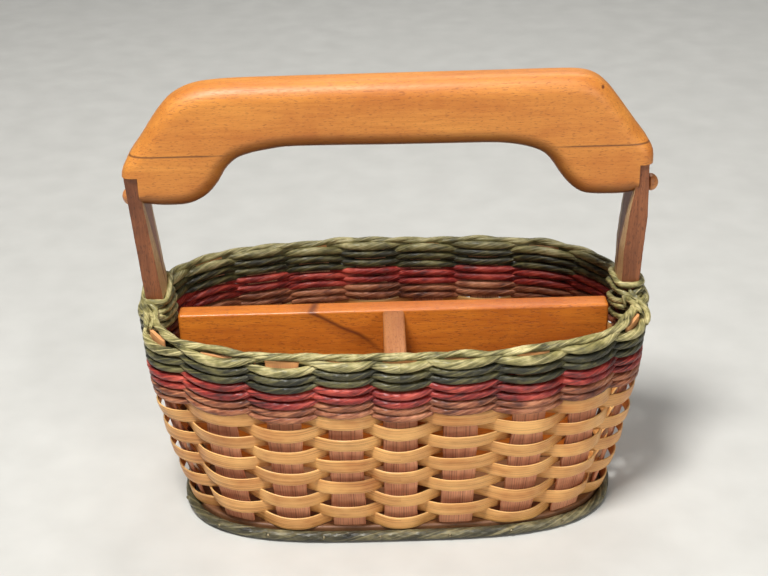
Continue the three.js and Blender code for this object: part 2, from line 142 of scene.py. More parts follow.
PEG_SHANK = 3.1  # radius
PEG_HEAD = 5.0  # length
PEG_NECK = 0.4  # the shank ends this far short of the head
PEG_DOME = [(0.0, 0.96), (1.2, 1), (2.4, 0.93), (3.6, 0.76), (4.5, 0.5), (5.0, 0.2)]

DIVIDER_EDGE = 1.6
SHORTEST_EASED = 3  # edges shorter than this stay sharp
STREAK_AT = 89  # where the dark flame of grain crosses the long divider
STREAK_SLOPE = 0.742
STREAK_BEND = 22
EDGE_TO_EDGE = 8.9  # half the way round a reed
CUT_TOP_FROM = (112, 116)  # heights at which the stakes turn paler

# ---- the studio, in metres and degrees ----

CAMERA_PLACE = (-0.009, -0.738, 0.474)
CAMERA_PITCH = 25.4  # below the horizon
CAMERA_YAW = 0.3
CAMERA_LEAN = -1.43
CAMERA_LENS = 65.02
LIGHTS = [("key", (-0.45, -0.65, 2.0), 0.6, 54), ("fill", (0.9, -1.5, 0.9), 0.8, 10),
          ("back", (0.3, 1.3, 1.6), 0.9, 8)]
LIGHT_AIM = (0, 0, 0.1)
SKY = (0.92, 0.95, 1, 1)
SKY_STRENGTH = 0.12
FLOOR_HALF = 6

# ---- meshes ----


class Shape:
    """Collects the grids of one piece, with a UV map in metres along and across each of them."""

    def __init__(self):
        self.points, self.faces, self.uvs, self.count = [], [], [], 0

    def grid(self, points, along, across, closed=False):
        """Rings of points, joined round each ring; closed joins the last ring to the first."""
        rings, sides = points.shape[:2]
        base = self.count
        self.points.append(points.reshape(-1, 3))
        self.count += rings * sides
        for i in range(rings if closed else rings - 1):
            a, b = base + i * sides, base + ((i + 1) % rings) * sides
            for j in range(sides):
                k = (j + 1) % sides
                self.faces.append((a + j, b + j, b + k, a + k))
                self.uvs += [(along[i], across[j]), (along[i + 1], across[j]),
                             (along[i + 1], across[j + 1]), (along[i], across[j + 1])]
        if not closed:
            self.cap([base + j for j in reversed(range(sides))], along[0], across)
            last = base + (rings - 1) * sides
            self.cap([last + j for j in range(sides)], along[-1], across)

    def cap(self, ring, at, across):
        self.faces.append(tuple(ring))
        self.uvs += [(at, across[j]) for j in range(len(ring))]

    def mesh(self, name):
        mesh = bpy.data.meshes.new(name)
        mesh.from_pydata(np.concatenate(self.points).tolist(), [], self.faces)
        layer = mesh.uv_layers.new(name="Along")
        layer.data.foreach_set("uv", np.array(self.uvs, np.float32).ravel())
        return mesh


def add_piece(name, mesh, material, node):
    """A finished piece that stands for its CAD node."""
    mesh.shade_smooth()
    mesh.set_sharp_from_angle(angle=math.radians(35))
    mesh.materials.append(material)
    piece = linked(name, mesh)
    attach(piece, "root")
    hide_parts(node)
    return piece


def linked(name, data):
    made = bpy.data.objects.new(name, data)
    bpy.context.scene.collection.objects.link(made)
    return made


def unit(vectors):
    return vectors / np.linalg.norm(vectors, axis=-1, keepdims=True)


def smooth_step(value, low, high):
    t = np.clip((value - low) / (high - low), 0, 1)
    return t * t * (3 - 2 * t)


def path_frame(centres, ups, closed):
    """Outward and upward directions square to a path that runs counter-clockwise."""
    if closed:
        tangents = np.roll(centres, -1, 0) - np.roll(centres, 1, 0)
    else:
        tangents = np.gradient(centres, axis=0)
    tangents = unit(tangents)
    ups = unit(ups - tangents * np.sum(ups * tangents, 1, keepdims=True))
    return np.cross(tangents, ups), ups


def running_length(centres, closed):
    steps = np.diff(centres, axis=0, append=centres[:1])
    lengths = np.concatenate([[0], np.cumsum(np.linalg.norm(steps, axis=1))])
    return lengths if closed else lengths[:-1]


def spline(a, b, c, d, t):
    """From b to c as t runs from 0 to 1. The points a and d are those before and after."""
    return 0.5 * (2 * b + (c - a) * t + (2 * a - 5 * b + 4 * c - d) * t**2
                  + (3 * b - a - 3 * c + d) * t**3)


def spline_slope(a, b, c, d, t):
    return 0.5 * ((c - a) + 2 * (2 * a - 5 * b + 4 * c - d) * t + 3 * (3 * b - a - 3 * c + d) * t**2)


def smooth_curve(points, steps, closed=False):
    """A curve through the given points, with steps even steps along it."""
    points = np.array(points, float)
    count = len(points)
    if closed:
        padded = np.concatenate([points[-1:], points, points[:2]])
    else:
        padded = np.concatenate([2 * points[:1] - points[1:2], points,
                                 2 * points[-1:] - points[-2:-1]])
    u = np.linspace(0, count if closed else count - 1, SPLINE_STEPS * count)
    i = np.minimum(u.astype(int), len(padded) - 4)
    fine = spline(padded[i], padded[i + 1], padded[i + 2], padded[i + 3], (u - i)[:, None])
    lengths = np.concatenate([[0], np.cumsum(np.linalg.norm(np.diff(fine, axis=0), axis=1))])
    even = np.linspace(0, lengths[-1], steps, endpoint=not closed)
    return np.stack([np.interp(even, lengths, fine[:, k]) for k in range(points.shape[1])], 1)


def oval(half_out, half_up, sides, power):
    """Rings of an oval section, from flat arrays of its half sizes."""
    angle = np.arange(sides) / sides * 2 * math.pi - math.pi / 2
    bend = 2 / power
    out = np.sign(np.cos(angle)) * np.abs(np.cos(angle)) ** bend
    up = np.sign(np.sin(angle)) * np.abs(np.sin(angle)) ** bend
    return np.stack([np.outer(half_out, out), np.outer(half_up, up)], 2)


def sweep(shape, centres, ups, section, closed):
    """A section along a path. Its seam is at the end of its height, away from ups."""
    outs, ups = path_frame(centres, ups, closed)
    points = centres[:, None] + section[..., :1] * outs[:, None] + section[..., 1:] * ups[:, None]
    across = running_length(section.mean(0), True)
    shape.grid(points, running_length(centres, closed), across, closed)


def ridged(section, lengths, lay, ridges, depth):
    """Presses the twist lines of a cord into its section."""
    sides = section.shape[1]
    angle = np.arange(sides) / sides * 2 * math.pi
    turn = lengths[:len(section), None] / lay * 2 * math.pi
    groove = np.abs(np.cos((ridges * angle[None] - turn * ridges) / 2))
    return section * (1 - depth * (1 - groove) ** 2)[..., None]


def whole_turns(total, lay):
    return total / max(1, round(total / lay))


def cord(shape, centres, ups, half_out, half_up, closed=True, sides=18, lay=CORD_LAY,
         ridges=CORD_RIDGES, groove=CORD_GROOVE):
    """One twisted strand along a path."""
    lengths = running_length(centres, closed)
    turn = whole_turns(lengths[-1], lay * MM) if closed else lay * MM
    every = np.ones(len(centres))
    section = oval(half_out * every, half_up * every, sides, power=2.3)
    section = ridged(section, lengths, turn, ridges, groove)
    sweep(shape, centres, ups, section, closed)


def two_ply(shape, centres, ups, strand, lay, spread):
    """A ring of two strands laid round each other."""
    outs, ups = path_frame(centres, ups, True)
    lengths = running_length(centres, True)
    turn = lengths[:-1] / whole_turns(lengths[-1], lay) * 2 * math.pi
    for phase in (0, math.pi):
        swing = np.cos(turn + phase)[:, None] * outs + np.sin(turn + phase)[:, None] * ups
        cord(shape, centres + swing * strand * spread, ups, strand, strand, sides=14,
             lay=STRAND_LAY, ridges=STRAND_RIDGES, groove=STRAND_GROOVE)


# ---- wall of the basket ----


def node_points(name):
    return np.unique(np.round([v.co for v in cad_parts[name].data.vertices], 6), axis=0)


def strip_levels(name, top):
    """Heights, middles, outward normals and thicknesses of the CAD strip's cross sections."""
    points = node_points(name)
    rows = []
    for height in np.unique(points[points[:, 2] <= top, 2]):
        corners = points[points[:, 2] == height, :2]
        if len(corners) != 4:
            continue
        order = np.argsort(np.linalg.norm(corners - corners[0], axis=1))
        thin, wide = corners[order[1]] - corners[0], corners[order[2]] - corners[0]
        middle = corners.mean(0)
        normal = unit(np.array([wide[1], -wide[0]]))
        normal *= np.sign(normal @ middle)
        rows.append([height, *middle, *normal, np.linalg.norm(thin), np.linalg.norm(wide)])
    return np.array(rows)


class Wall:
    """The middle surface of the wall, smooth through the CAD's stakes and strut tongues."""

    def __init__(self):
        numbers = iter(range(1, PLACES))
        self.nodes = [STRUT_PLACES.get(place) or f"stake_{next(numbers):02d}"
                      for place in range(PLACES)]
        stake_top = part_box("stake_01")[1].z
        self.heights = np.linspace(0, stake_top, WALL_LEVELS)
        self.strips = [strip_levels(name, stake_top + MM) for name in self.nodes]
        self.middles = np.array([[np.interp(self.heights, s[:, 0], s[:, k]) for k in (1, 2)]
                                 for s in self.strips]).transpose(0, 2, 1)

    def middle(self, place, z):
        """Middles of whole places at the given heights."""
        level = np.clip(z / self.heights[-1], 0, 1) * (len(self.heights) - 1)
        low = np.minimum(level.astype(int), len(self.heights) - 2)
        t = (level - low)[:, None]
        place = place % PLACES
        return self.middles[place, low] * (1 - t) + self.middles[place, low + 1] * t

    def point(self, u, z):
        """Points of the surface and its outward normals, at places u and heights z."""
        i = np.floor(u).astype(int)
        t = (u - i)[:, None]
        near = [self.middle(i + k, z) for k in (-1, 0, 1, 2)]
        slope = unit(spline_slope(*near, t))
        points = np.column_stack([spline(*near, t), z])
        normals = np.column_stack([slope[:, 1], -slope[:, 0], np.zeros(len(u))])
        return points, normals

    def path(self, u, z, offset):
        """A path beside the surface, with the direction up the leaning wall."""
        z = settled(u, z)
        points, normals = self.point(u, z)
        above, _ = self.point(u, z + 2 * MM)
        below, _ = self.point(u, z - 2 * MM)
        return points + normals * offset[:, None], unit(above - below)


def settled(u, z):
    """Heights of hand-woven rows: packed towards the foot, and sagging a little at the back."""
    height = z / MM
    share = LIFT_AT_FOOT + smooth_step(height, *PACKED_BELOW)
    lift = ROW_LIFT * share * (1 - smooth_step(height, *LIFTED_BELOW))
    back = 0.5 - 0.5 * np.cos((u - HIGHEST_PLACE) / PLACES * 2 * math.pi)
    depth = smooth_step(height, 0, SAG_HEIGHT) * (1 - smooth_step(height, SAG_HEIGHT, RIM_HEIGHT))
    return z + (lift - ROW_SAG * back * depth) * MM


wall = Wall()


def places_round(steps):
    return np.arange(steps) / steps * PLACES


def weave(u):
    """+1 at even places, -1 at odd places, with a flat crest."""
    wave = np.cos(math.pi * u)
    return wave * (1 + FLAT_CREST * (1 - wave**2))


def wobble(rng, u, size):
    """A smooth hand-made unevenness round the basket."""
    knots = rng.normal(0, size, 2 * PLACES)
    x = u * 2
    i = np.floor(x).astype(int)
    t = smooth_step(x - i, 0, 1)
    return knots[i % (2 * PLACES)] * (1 - t) + knots[(i + 1) % (2 * PLACES)] * t


# ---- materials ----


def rgb(red, green, blue):
    """A colour as linear light, from its everyday 0 to 255 values."""
    linear = [((v / 255 + 0.055) / 1.055) ** 2.4 if v > 10 else v / 3294 for v in (red, green, blue)]
    return (*linear, 1)


class Look:
    """A material and short names for the nodes that these looks use."""

    def __init__(self, name):
        self.material = bpy.data.materials.new(name)
        self.material.use_nodes = True
        self.tree = self.material.node_tree
        self.shader = self.tree.nodes["Principled BSDF"]

    def node(self, kind, inputs=(), **settings):
        made = self.tree.nodes.new("ShaderNode" + kind)
        for key, value in settings.items():
            setattr(made, key, value)
        for socket, value in dict(inputs).items():
            self.put(made.inputs[socket], value)
        return made

    def put(self, socket, value):
        if isinstance(value, bpy.types.NodeSocket):
            self.tree.links.new(value, socket)
        else:
            socket.default_value = value

    def along(self, stretch, slant=0.0):
        """The piece's own UV map, in metres, turned to follow a slant and then stretched."""
        uv = self.node("UVMap", uv_map="Along").outputs["UV"]
        return self.mapped(self.mapped(uv, (1, 1, 1), (0, 0, -slant)), stretch)

    def place(self, stretch):
        """Places in the row frame, in metres, stretched."""
        return self.mapped(self.node("TexCoord").outputs["Object"], stretch)

    def mapped(self, vector, stretch, turn=(0, 0, 0)):
        return self.node("Mapping", {"Vector": vector, "Scale": stretch, "Rotation": turn}).outputs[0]

    def axis(self, vector, letter):
        return self.node("SeparateXYZ", {"Vector": vector}).outputs[letter]

    def at(self, letter):
        """One coordinate of a place in the row frame, in metres."""
        return self.axis(self.node("TexCoord").outputs["Object"], letter)

    def from_seam(self, pitch):
        """Distance round the piece from the nearest seam, with seams at a pitch in mm."""
        around = self.axis(self.along((1, 1, 1)), "Y")
        return self.math("PINGPONG", around, pitch * MM / 2)

    def noise(self, vector, detail=3.0, roughness=0.5, distortion=0.0):
        made = self.node("TexNoise", {"Vector": vector, "Scale": 1, "Detail": detail,
                                      "Roughness": roughness, "Distortion": distortion})
        return made.outputs["Fac"]

    def ramp(self, factor, *stops):
        made = self.node("ValToRGB", {"Fac": factor})
        elements = made.color_ramp.elements
        while len(elements) < len(stops):
            elements.new(0.5)
        for element, (position, colour) in zip(elements, stops):
            element.position = position
            element.color = colour
        return made.outputs["Color"]

    def blend(self, factor, first, second):
        made = self.node("Mix", data_type="RGBA")
        self.put(made.inputs[0], factor)
        self.put(made.inputs[6], first)
        self.put(made.inputs[7], second)
        return made.outputs[2]

    def tint(self, colour, other, value, low, high, most):
        """Turns a colour into another one, the most where the value is high."""
        return self.blend(self.span(value, low, high, 0, most), colour, other)

    def span(self, value, low, high, to_low=0.0, to_high=1.0):
        made = self.node("MapRange", {"Value": value, "From Min": low, "From Max": high,
                                      "To Min": to_low, "To Max": to_high})
        return made.outputs[0]

    def math(self, operation, first, second=0.0):
        return self.node("Math", {0: first, 1: second}, operation=operation).outputs[0]

    def bump(self, height, distance, strength):
        inputs = {"Height": height, "Distance": distance, "Strength": strength}
        return self.node("Bump", inputs).outputs[0]

    def finish(self, colour, roughness, normal=None, **constants):
        self.put(self.shader.inputs["Base Color"], colour)
        self.put(self.shader.inputs["Roughness"], roughness)
        if normal is not None:
            self.put(self.shader.inputs["Normal"], normal)
        for key, value in constants.items():
            self.shader.inputs[key.replace("_", " ")].default_value = value
        return self.material


def grained(axis, along, across):
    """Lines per metre along the grain and across it, for grain that runs along X, Y or Z."""
    return [along if name == axis else across for name in "XYZ"]


def wood_look(name, dark, light, axis, pore_colour, rough, coat=0.1, marks=None):
    """Sawn wood: broad figure, fine fibre lines, silky cross figure and short dark pores."""
    look = Look(name)
    figure = look.noise(look.place(grained(axis, 8, 55)), detail=4, roughness=0.6, distortion=0.7)
    fibres = look.noise(look.place(grained(axis, 40, 700)), detail=3, roughness=0.7)
    silk = look.noise(look.place(grained(axis, 120, 45)), detail=2, roughness=0.5)
    pores = look.noise(look.place(grained(axis, 330, 1500)), detail=2, roughness=0.6)
    colour = look.ramp(figure, (0.3, dark), (0.66, light))
    colour = look.tint(colour, light, silk, 0.35, 0.7, 0.35)
    colour = look.tint(colour, dark, fibres, 0.42, 0.7, 0.5)
    pore = look.span(pores, 0.44, 0.34)
    colour = look.blend(look.math("MULTIPLY", pore, 0.5), colour, pore_colour)
    if marks:
        colour = marks(look, colour)
    height = look.math("SUBTRACT", look.math("MULTIPLY", fibres, 0.6), pore)
    normal = look.bump(height, 0.1 * MM, 0.6)
    roughness = look.span(fibres, 0.2, 0.8, rough - 0.06, rough + 0.12)
    return look.finish(colour, roughness, normal, Coat_Weight=coat, Coat_Roughness=0.35)


def spot(look, centre, radii):
    """1 inside a small ellipsoid in the row frame, 0 outside it. Sizes in mm."""
    middle = [c * MM for c in centre]
    place = look.node("TexCoord").outputs["Object"]
    local = look.node("VectorMath", {0: place, 1: middle}, operation="SUBTRACT").outputs[0]
    local = look.mapped(local, [1 / (r * MM) for r in radii])
    length = look.node("VectorMath", {0: local}, operation="LENGTH")
    return look.span(length.outputs["Value"], 1, 0.5)


def grip_look(glue_height):
    def marks(look, colour):
        """Painted shade where the surface faces downwards, a glue line near each end and a small knot.
        """
        facing = look.axis(look.node("NewGeometry").outputs["Normal"], "Z")
        # painted shade: the colour turns dark brown where the surface faces the floor
        colour = look.tint(colour, rgb(72, 36, 14), facing, -0.1, -0.8, 0.85)
        height = look.math("ABSOLUTE", look.math("SUBTRACT", look.at("Z"), glue_height))
        near, far = GLUE_LINE_FROM
        line = look.span(look.math("ABSOLUTE", look.at("X")), near * MM, far * MM)
        line = look.math("MULTIPLY", look.span(height, 0.7 * MM, 0.2 * MM), line)
        colour = look.blend(look.math("MULTIPLY", line, 0.75), colour, rgb(88, 50, 26))
        return look.blend(spot(look, KNOT_PLACE, KNOT_RADII), colour, rgb(112, 58, 28))

    return wood_look("grip_wood", rgb(190, 108, 38), rgb(222, 146, 62), "X", rgb(140, 72, 26),
                     0.46, 0.12, marks)


def divider_look():
    def streak(look, colour):
        """A dark flame of grain on the long divider's left half."""
        bend = look.noise(look.place((14, 14, 14)), detail=2)
        line = look.math("ADD", look.math("MULTIPLY", look.at("X"), STREAK_SLOPE), look.at("Z"))
        line = look.math("ADD", line, look.math("MULTIPLY", bend, STREAK_BEND * MM))
        off = look.math("SUBTRACT", line, STREAK_AT * MM)
        core = look.span(look.math("ABSOLUTE", off), 2.6 * MM, 0.4 * MM, 0, 0.8)
        shade = look.span(off, -9 * MM, 0, 0, 0.35)
        below = look.math("MULTIPLY", shade, look.span(off, 1 * MM, 0))
        strength = look.math("MAXIMUM", core, below)
        strength = look.math("MULTIPLY", strength, look.span(look.at("X"), 0, -20 * MM))
        return look.blend(strength, colour, rgb(92, 38, 16))

    return wood_look("divider_wood", rgb(176, 84, 20), rgb(224, 132, 42), "X", rgb(128, 56, 16),
                     0.36, 0.25, streak)


def strip_look(name, dark, light, line_colour, rough, lines, coat=0.0, edge=None, cut_top=None):
    """Split wood or reed: fibre lines along the strip. Optionally paler edges, partly the cut edges' own
    tone and partly a painted highlight, and a paler cut top.
    """
    look = Look(name)
    fibres = look.noise(look.along((9, lines * 1.8, 1)), detail=3, roughness=0.75)
    streaks = look.noise(look.along((6, lines / 2.5, 1)), detail=2, roughness=0.5)
    patches = look.noise(look.place((30, 30, 60)), detail=3, roughness=0.65)
    colour = look.ramp(patches, (0.32, dark), (0.66, light))
    colour = look.tint(colour, light, streaks, 0.4, 0.68, 0.6)
    colour = look.tint(colour, line_colour, fibres, 0.5, 0.68, 0.75)
    if edge:
        # partly painted highlight: both long edges of the strip turn paler
        colour = look.tint(colour, edge, look.from_seam(EDGE_TO_EDGE), MM, 0.3 * MM, 0.55)
    if cut_top:
        low, high = CUT_TOP_FROM
        colour = look.tint(colour, cut_top, look.at("Z"), low * MM, high * MM, 0.85)
    normal = look.bump(look.math("SUBTRACT", streaks, fibres), 0.22 * MM, 0.8)
    roughness = look.span(fibres, 0.3, 0.7, rough - 0.05, rough + 0.15)
    return look.finish(colour, roughness, normal, Coat_Weight=coat, Coat_Roughness=0.35)


def cord_look(name, dark, middle, light, rough=0.46, painted_back_shade=0.0):
    """Dyed twisted paper rush: long slanting pleats with painted sheen on their crests and painted shade
    in their valleys and creases, and mottled dye. Painted shade darkens the underside along the seam,
    and may darken the cord at the back of the basket."""
    look = Look(name)
    slant = math.atan2(CORD_GIRTH, CORD_LAY)
    pleats = look.noise(look.along((22, 620, 1), slant), detail=2, roughness=0.6)
    creases = look.noise(look.along((90, 2100, 1), slant * 0.8), detail=3, roughness=0.65)
    dye = look.noise(look.place((60, 60, 110)), detail=3, roughness=0.65)
    colour = look.ramp(dye, (0.32, dark), (0.5, middle), (0.7, light))
    # painted sheen and painted shade: pleat crests turn lighter and pleat valleys darker
    colour = look.tint(colour, light, pleats, 0.52, 0.68, 0.75)
    colour = look.tint(colour, dark, pleats, 0.46, 0.34, 0.7)
    # painted shade in the creases
    colour = look.tint(colour, dark, creases, 0.46, 0.3, 0.5)
    # painted shade under each cord: darker along the seam, which runs along the cord's underside
    colour = look.tint(colour, dark, look.from_seam(CORD_GIRTH), 2.6 * MM, MM, 0.7)
    # painted shade: darker towards the back of the basket
    colour = look.tint(colour, dark, look.at("Y"), 20 * MM, 70 * MM, painted_back_shade)
    height = look.math("ADD", look.math("MULTIPLY", pleats, 2.2), creases)
    normal = look.bump(height, 0.4 * MM, 0.9)
    roughness = look.span(pleats, 0.35, 0.65, rough + 0.12, rough - 0.08)
    return look.finish(colour, roughness, normal, Coat_Weight=0.15, Coat_Roughness=0.25)


def metal_look():
    look = Look("tack_metal")
    wear = look.noise(look.place((900, 900, 900)), detail=2)
    colour = look.ramp(wear, (0.35, rgb(92, 84, 62)), (0.65, rgb(160, 148, 118)))
    return look.finish(colour, look.span(wear, 0.3, 0.7, 0.25, 0.5), Metallic=0.9)


GLUE_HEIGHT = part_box("grip_block_right")[1].z
GRIP_WOOD = grip_look(GLUE_HEIGHT)
WALNUT = wood_look("walnut", rgb(92, 46, 22), rgb(158, 94, 54), "Z", rgb(52, 26, 14), 0.5)
WORN_WALNUT = wood_look("worn_walnut", rgb(150, 106, 64), rgb(214, 174, 122), "Z",
                        rgb(104, 66, 40), 0.5)
DIVIDER_WOOD = divider_look()
CROSS_WOOD = wood_look("cross_divider_wood", rgb(150, 82, 40), rgb(190, 124, 68), "Y",
                       rgb(112, 56, 28), 0.45)
BOARD_WOOD = wood_look("board_wood", rgb(84, 50, 28), rgb(132, 88, 52), "X", rgb(60, 34, 18), 0.5)
PEG_WOOD = wood_look("peg_wood", rgb(186, 108, 54), rgb(222, 154, 88), "X", rgb(140, 76, 40), 0.4)
STAKE_WOOD = strip_look("stake_wood", rgb(180, 106, 72), rgb(232, 164, 122), rgb(112, 60, 40), 0.6, 620,
                        cut_top=rgb(232, 168, 106))
REED = strip_look("reed", rgb(186, 114, 52), rgb(240, 182, 108), rgb(144, 84, 38), 0.4, 1000, 0.15,
                  edge=rgb(246, 208, 136))
CORD_LOOKS = {
    "tan": cord_look("tan_cord", rgb(78, 34, 20), rgb(154, 86, 54), rgb(212, 142, 100)),
    "red": cord_look("red_cord", rgb(68, 12, 10), rgb(152, 36, 29), rgb(212, 90, 70)),
    "green": cord_look("green_cord", rgb(18, 19, 8), rgb(54, 51, 25), rgb(124, 116, 68)),
    # the light green cord gets painted shade at the back of the basket
    "light_green": cord_look("light_green_cord", rgb(70, 66, 34), rgb(154, 144, 88), rgb(232, 216, 156),
                             painted_back_shade=0.45),
}
BASE_CORD = cord_look("base_cord", rgb(34, 31, 20), rgb(84, 78, 52), rgb(156, 144, 104), 0.38)
TACK_METAL = metal_look()

# ---- pieces ----


def add_stakes():
    rng = np.random.default_rng(11)
    for place, name in enumerate(wall.nodes):
        if place in STRUT_PLACES:
            continue
        strip = wall.strips[place]
        z = np.linspace(strip[0, 0], strip[-1, 0], 46)
        at = [np.interp(z, strip[:, 0], strip[:, k]) for k in range(1, 7)]
        centres = np.column_stack([at[0], at[1], z])
        normals = np.column_stack([at[2], at[3], np.zeros(len(z))])
        sides = unit(np.cross(normals, UP))
        width = at[5] / 2 + wobble(rng, z / MM / 12, STAKE_UNEVENNESS * MM)
        section = oval(at[4] / 2, width, 20, power=5)
        section[..., 0] += STAKE_CROWN * MM * (0.5 - (section[..., 1] / width[:, None]) ** 2)
        shape = Shape()
        sweep(shape, centres, sides, section, False)
        add_piece(name.replace("stake", "stake_strip"), shape.mesh(name), STAKE_WOOD, name)


def add_reeds():
    u = places_round(480)
    for row in range(REED_ROWS):
        name = f"reed_row_{row + 1:02d}"
        low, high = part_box(name)
        rng = np.random.default_rng(40 + row)
        side = 1 if row % 2 == 0 else -1
        z = (low.z + high.z) / 2 - REED_STAGGER * MM * np.cos(math.pi * u)
        z += wobble(rng, u, REED_UNEVENNESS[0] * MM)
        offset = side * weave(u) * REED_SWING * MM + wobble(rng, u, REED_UNEVENNESS[1] * MM)
        centres, ups = wall.path(u, z, offset)
        outs, _ = path_frame(centres, ups, True)
        ups = unit(ups + outs * wobble(rng, u, REED_TWIST)[:, None])
        half_height = REED_SIZE[1] / 2 * MM + wobble(rng, u, REED_UNEVENNESS[2] * MM)
        section = oval(REED_SIZE[0] / 2 * MM * np.ones(len(u)), half_height, 18, power=3.4)
        shape = Shape()
        sweep(shape, centres, ups, section, True)
        add_piece(f"reed_{row + 1:02d}", shape.mesh(name), REED, name)


def nearness(u, places, full, none):
    """1 within one distance of any of the places, falling to 0 at another."""
    half = PLACES / 2
    distance = np.minimum.reduce([np.abs((u - p + half) % PLACES - half) for p in places])
    return 1 - smooth_step(distance, full, none)


def add_cord_rows():
    u = places_round(760)
    crest = np.abs(np.cos(math.pi * u)) ** 0.65
    swing = (CORD_SWING + STRUT_WIDENING * nearness(u, STRUT_PLACES, *COLUMN)) * MM
    raised = nearness(u, RAISED_PLACES, *COLUMN) * MM
    for row, node in enumerate(CORD_ROWS):
        rng = np.random.default_rng(70 + row)
        low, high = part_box(node)
        thick = TOP_CORD_THICKNESS if node == CORD_ROWS[-1] else CORD_THICKNESS
        shape = Shape()
        for side in (1, -1):
            outside = side * weave(u)
            stagger = np.where(outside > 0, OUTER_STAGGER, INNER_STAGGER)
            drop = CORD_TILT * outside + side * (stagger * crest + CROSSING_HEIGHT / 2 * (1 - crest))
            z = (low.z + high.z) / 2 - drop * MM + wobble(rng, u, CORD_UNEVENNESS[0] * MM)
            if side > 0:
                z += RAISED_ROWS.get(node, 0) * raised
            offset = outside * swing + wobble(rng, u, CORD_UNEVENNESS[1] * MM)
            centres, ups = wall.path(u, z, offset)
            half_up = (CROSSING_HEIGHT + (thick - CROSSING_HEIGHT) * crest) / 2 * MM
            thin, wide = CORD_HALF_WIDTH
            cord(shape, centres, ups, (thin + (wide - thin) * crest) * MM, half_up)
        colour = node.split("_")[0]
        look = "light_green" if node == CORD_ROWS[-1] else colour
        add_piece(node.replace("_row", "_strands"), shape.mesh(node), CORD_LOOKS[look],
                  node)


def add_rim_cord():
    u = places_round(900)
    rng = np.random.default_rng(90)
    low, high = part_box("rim_cord")
    at_strut, _ = wall.point(np.array([min(STRUT_PLACES)]), np.array([RIM_HEIGHT * MM]))
    outside = high.x - (high.z - low.z) / 2 - at_strut[0, 0]
    round_strut = nearness(u, STRUT_PLACES, *ROUND_STRUT)
    tucked = (1 - round_strut) * nearness(u, STRUT_PLACES, *TUCK_ENDS)
    offset = outside * round_strut - RIM_TUCK * MM * tucked
    offset += wobble(rng, u, RIM_UNEVENNESS[0] * MM)
    z = RIM_HEIGHT * MM + wobble(rng, u, RIM_UNEVENNESS[1] * MM)
    centres, ups = wall.path(u, z, offset)
    shape = Shape()
    two_ply(shape, centres, ups, RIM_STRAND * MM, RIM_LAY * MM, RIM_SPREAD)
    add_piece("rim_cord_strands", shape.mesh("rim_cord"), CORD_LOOKS["light_green"],
              "rim_cord")


def ring_outline(node, height):
    """Plan outline of a CAD plate at one height, counter-clockwise."""
    points = node_points(node)
    ring = points[np.abs(points[:, 2] - height) < 0.01 * MM, :2]
    return ring[np.argsort(np.arctan2(ring[:, 1], ring[:, 0]))]


def grown(outline, distance):
    tangents = unit(np.roll(outline, -1, 0) - np.roll(outline, 1, 0))
    return outline + np.column_stack([tangents[:, 1], -tangents[:, 0]]) * distance


def rounded_edge(low, high, radius):
    """Heights and insets of a plate's rounded edge, from its underside to its top."""
    profile = []
    for middle, start in ((low + radius, -90), (high - radius, 0)):
        for angle in np.linspace(start, start + 90, 5):
            turn = math.radians(angle)
            profile.append((middle + radius * math.sin(turn), radius * (math.cos(turn) - 1)))
    return profile


def add_base():
    low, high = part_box("base_board")
    outline = smooth_curve(ring_outline("base_board", low.z), 260, closed=True)
    levels = np.array([np.column_stack([grown(outline, inset), np.full(len(outline), z)])
                       for z, inset in rounded_edge(low.z, high.z, BOARD_EDGE * MM)])
    shape = Shape()
    across = np.linspace(0, 0.7, len(outline) + 1)
    shape.grid(levels[::-1], np.linspace(0, 10 * MM, len(levels)), across)
    board = shape.mesh("base_board")
    board.flip_normals()
    add_piece("base_plate", board, BOARD_WOOD, "base_board")

    cord_low, cord_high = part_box("base_cord")
    radius = (cord_high.z - cord_low.z) / 2
    path = smooth_curve(grown(outline, cord_high.x - high.x - radius), 900, closed=True)
    centres = np.column_stack([path, np.full(len(path), (cord_low.z + cord_high.z) / 2)])
    shape = Shape()
    thick = BASE_CORD_RADIUS * MM
    cord(shape, centres, np.tile(UP, (len(path), 1)), thick, thick, lay=BASE_LAY,
         ridges=BASE_RIDGES, groove=BASE_GROOVE)
    add_piece("base_cord_strands", shape.mesh("base_cord"), BASE_CORD, "base_cord")
    add_tacks(centres, radius)


def add_tacks(centres, radius):
    """Small domed tacks that hold the base cord to the board, about one to a stake."""
    shape = Shape()
    outs, _ = path_frame(centres, np.tile(UP, (len(centres), 1)), True)
    rng = np.random.default_rng(5)
    for place in range(PLACES):
        i = int((place + 0.5 + rng.uniform(-0.2, 0.2)) / PLACES * len(centres)) % len(centres)
        out = unit(outs[i] + UP * 0.25)
        side = unit(np.cross(UP, out))
        up = np.cross(out, side)
        foot = centres[i] + out * (radius - 0.3 * MM)
        turn = np.arange(12) / 12 * 2 * math.pi
        rings = []
        for angle in np.radians(np.linspace(0, 84, 6)):
            size = TACK_SIZE[0] * MM * math.cos(angle)
            middle = foot + out * TACK_SIZE[1] * MM * math.sin(angle)
            rings.append(middle + size * (np.cos(turn)[:, None] * side + np.sin(turn)[:, None] * up))
        shape.grid(np.array(rings), np.linspace(0, 2 * MM, len(rings)), np.linspace(0, 8 * MM, 13))
    tacks = linked("base_tacks", shape.mesh("base_tacks"))
    tacks.data.shade_smooth()
    tacks.data.materials.append(TACK_METAL)
    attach(tacks, "root")


def finished(shape, name):
    """A new mesh from a bmesh, which is freed."""
    mesh = bpy.data.meshes.new(name)
    shape.to_mesh(mesh)
    shape.free()
    return mesh


def loaded(mesh):
    shape = bmesh.new()
    shape.from_mesh(mesh)
    return shape


